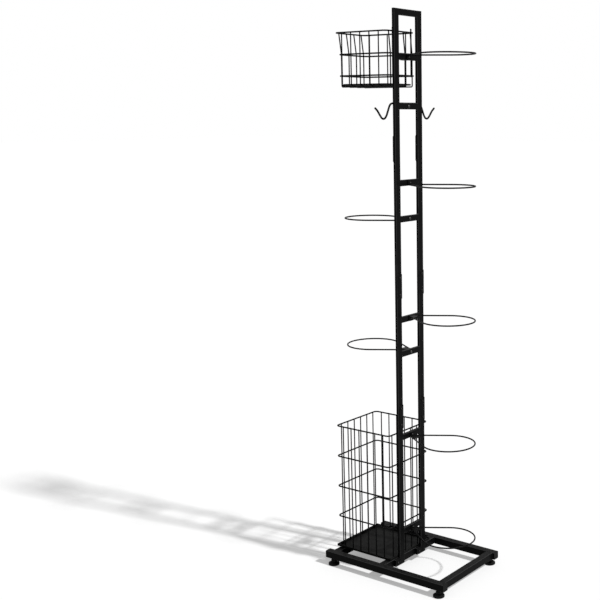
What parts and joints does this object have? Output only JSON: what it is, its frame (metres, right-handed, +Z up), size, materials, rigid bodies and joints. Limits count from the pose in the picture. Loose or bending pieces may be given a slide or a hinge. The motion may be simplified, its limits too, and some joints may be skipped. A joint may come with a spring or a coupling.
{
  "type": "ball storage rack",
  "caption": "Tall free-standing ball rack: bolted ladder on a tube base with levelling feet, wire rings on both sides, a double hook, an upper wire basket and a tall floor basket in a tray.",
  "frame": {"origin": "on the floor at the centre of the footprint, under the middle of the ladder", "axes": "+Z up the ladder, X along the long base tubes with the baskets on the -X side, Y across the ladder from the near post (-Y) to the far post (+Y)"},
  "size_m": [0.6, 0.414, 2.245],
  "materials": {
    "powder_coat": "satin black powder coat",
    "tray_coat": "satin dark grey powder coat",
    "black_plastic": "matt moulded",
    "bolt_steel": "zinc plated"
  },
  "bodies": {
    "rack": {"base_tube_near": "powder_coat", "base_tube_far": "powder_coat", "cross_tube_left": "powder_coat", "cross_tube_middle": "powder_coat", "cross_tube_right": "powder_coat", "ladder_section_1": "powder_coat", "ladder_section_2": "powder_coat", "ladder_section_3": "powder_coat", "ladder_section_4": "powder_coat", "splice_plate_1_near": "powder_coat", "splice_plate_1_far": "powder_coat", "splice_plate_2_near": "powder_coat", "splice_plate_2_far": "powder_coat", "splice_plate_3_near": "powder_coat", "splice_plate_3_far": "powder_coat", "ring_right_5": "powder_coat", "ring_right_4": "powder_coat", "ring_left_2": "powder_coat", "ring_right_3": "powder_coat", "ring_left_1": "powder_coat", "ring_right_2": "powder_coat", "ring_right_1": "powder_coat", "double_hook": "powder_coat", "top_basket": "powder_coat", "tall_basket": "powder_coat", "tray": "tray_coat", "end_cap_near_left": "black_plastic", "end_cap_near_right": "black_plastic", "end_cap_far_left": "black_plastic", "end_cap_far_right": "black_plastic", "splice_bolt_1_near_low": "bolt_steel", "splice_bolt_1_near_high": "bolt_steel", "splice_bolt_1_far_low": "bolt_steel", "splice_bolt_1_far_high": "bolt_steel", "splice_bolt_2_near_low": "bolt_steel", "splice_bolt_2_near_high": "bolt_steel", "splice_bolt_2_far_low": "bolt_steel", "splice_bolt_2_far_high": "bolt_steel", "splice_bolt_3_near_low": "bolt_steel", "splice_bolt_3_near_high": "bolt_steel", "splice_bolt_3_far_low": "bolt_steel", "splice_bolt_3_far_high": "bolt_steel", "ring_right_5_bolt": "bolt_steel", "ring_right_4_bolt": "bolt_steel", "ring_left_2_bolt": "bolt_steel", "ring_right_3_bolt": "bolt_steel", "ring_left_1_bolt": "bolt_steel", "ring_right_2_bolt": "bolt_steel", "ring_right_1_bolt": "bolt_steel", "hook_bolt": "bolt_steel", "ladder_bolt_near": "bolt_steel", "ladder_bolt_far": "bolt_steel"},
    "foot_near_left": {"foot_near_left": "black_plastic"},
    "foot_near_right": {"foot_near_right": "black_plastic"},
    "foot_far_left": {"foot_far_left": "black_plastic"},
    "foot_far_right": {"foot_far_right": "black_plastic"}
  },
  "joints": [
    {"name": "foot_near_left_level", "type": "slide", "parent": "rack", "child": "foot_near_left", "axis": [0, 0, -1], "range_m": [-0.0055, 0.01]},
    {"name": "foot_near_right_level", "type": "slide", "parent": "rack", "child": "foot_near_right", "axis": [0, 0, -1], "range_m": [-0.0055, 0.01]},
    {"name": "foot_far_left_level", "type": "slide", "parent": "rack", "child": "foot_far_left", "axis": [0, 0, -1], "range_m": [-0.0055, 0.01]},
    {"name": "foot_far_right_level", "type": "slide", "parent": "rack", "child": "foot_far_right", "axis": [0, 0, -1], "range_m": [-0.0055, 0.01]}
  ]
}
